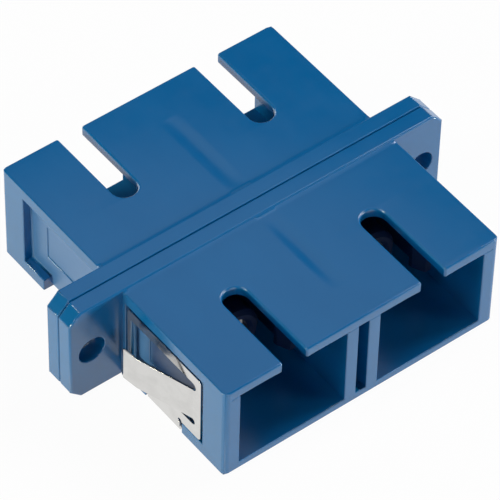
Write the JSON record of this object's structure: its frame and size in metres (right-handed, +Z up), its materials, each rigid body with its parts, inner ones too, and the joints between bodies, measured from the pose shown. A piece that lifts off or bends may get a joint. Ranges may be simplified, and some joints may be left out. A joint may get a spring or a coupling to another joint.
{
  "type": "duplex sc fibre adapter",
  "caption": "Flanged plastic adapter that joins SC fibre plugs end to end: keyed ports at both ends, split sleeves inside, and a sprung steel clip for a panel cut-out.",
  "frame": {"origin": "middle of the underside, on the seam between the two housing halves", "axes": "+X along the flange, -Y out of the front ports (the end with the clip), +Z up, towards the keyways"},
  "size_m": [0.0344, 0.0272, 0.0092],
  "materials": {
    "housing_blue": "satin moulded blue plastic",
    "holder_blue": "satin moulded dark blue plastic",
    "sleeve_ceramic": "polished white zirconia",
    "clip_steel": "bright rolled spring steel"
  },
  "bodies": {
    "root": {"front_housing": "housing_blue", "rear_housing": "housing_blue", "front_left_holder": "holder_blue", "front_right_holder": "holder_blue", "rear_left_holder": "holder_blue", "rear_right_holder": "holder_blue", "left_sleeve": "sleeve_ceramic", "right_sleeve": "sleeve_ceramic", "panel_clip": "clip_steel"}
  },
  "joints": []
}
